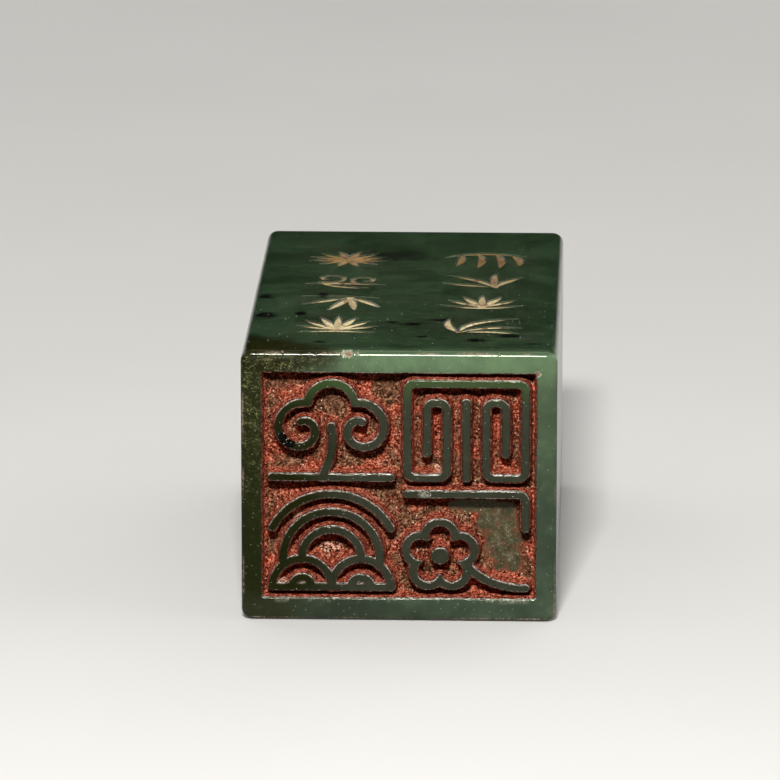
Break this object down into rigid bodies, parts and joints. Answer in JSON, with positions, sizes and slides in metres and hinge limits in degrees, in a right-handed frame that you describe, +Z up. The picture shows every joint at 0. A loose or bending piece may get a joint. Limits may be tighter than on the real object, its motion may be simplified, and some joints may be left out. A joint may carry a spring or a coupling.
{
  "type": "seal stamp",
  "caption": "Rectangular jade seal stamp on its side, with an ornament in deep relief on its stamping end, red paste between the lines and small gilt marks along one side.",
  "frame": {"origin": "on the table plane, under the middle of the block's footprint as it lies on its side", "axes": "+Z up; -Y out of the stamping end and +Y towards the butt end; +X to the right for someone looking at the stamping end"},
  "size_m": [0.036, 0.0624, 0.0317],
  "materials": {
    "jade": "polished",
    "cinnabar_paste": "matte",
    "gilt": "satin"
  },
  "bodies": {
    "root": {"jade_block": "jade", "paste_bed": "cinnabar_paste", "paste_pocket_1": "cinnabar_paste", "paste_pocket_2": "cinnabar_paste", "paste_pocket_3": "cinnabar_paste", "paste_pocket_4": "cinnabar_paste", "paste_pocket_5": "cinnabar_paste", "gilt_palmette": "gilt", "gilt_bamboo": "gilt", "gilt_clouds": "gilt", "gilt_chrysanthemum": "gilt", "gilt_orchid": "gilt", "gilt_lotus": "gilt", "gilt_reeds": "gilt", "gilt_willow": "gilt"}
  },
  "joints": []
}
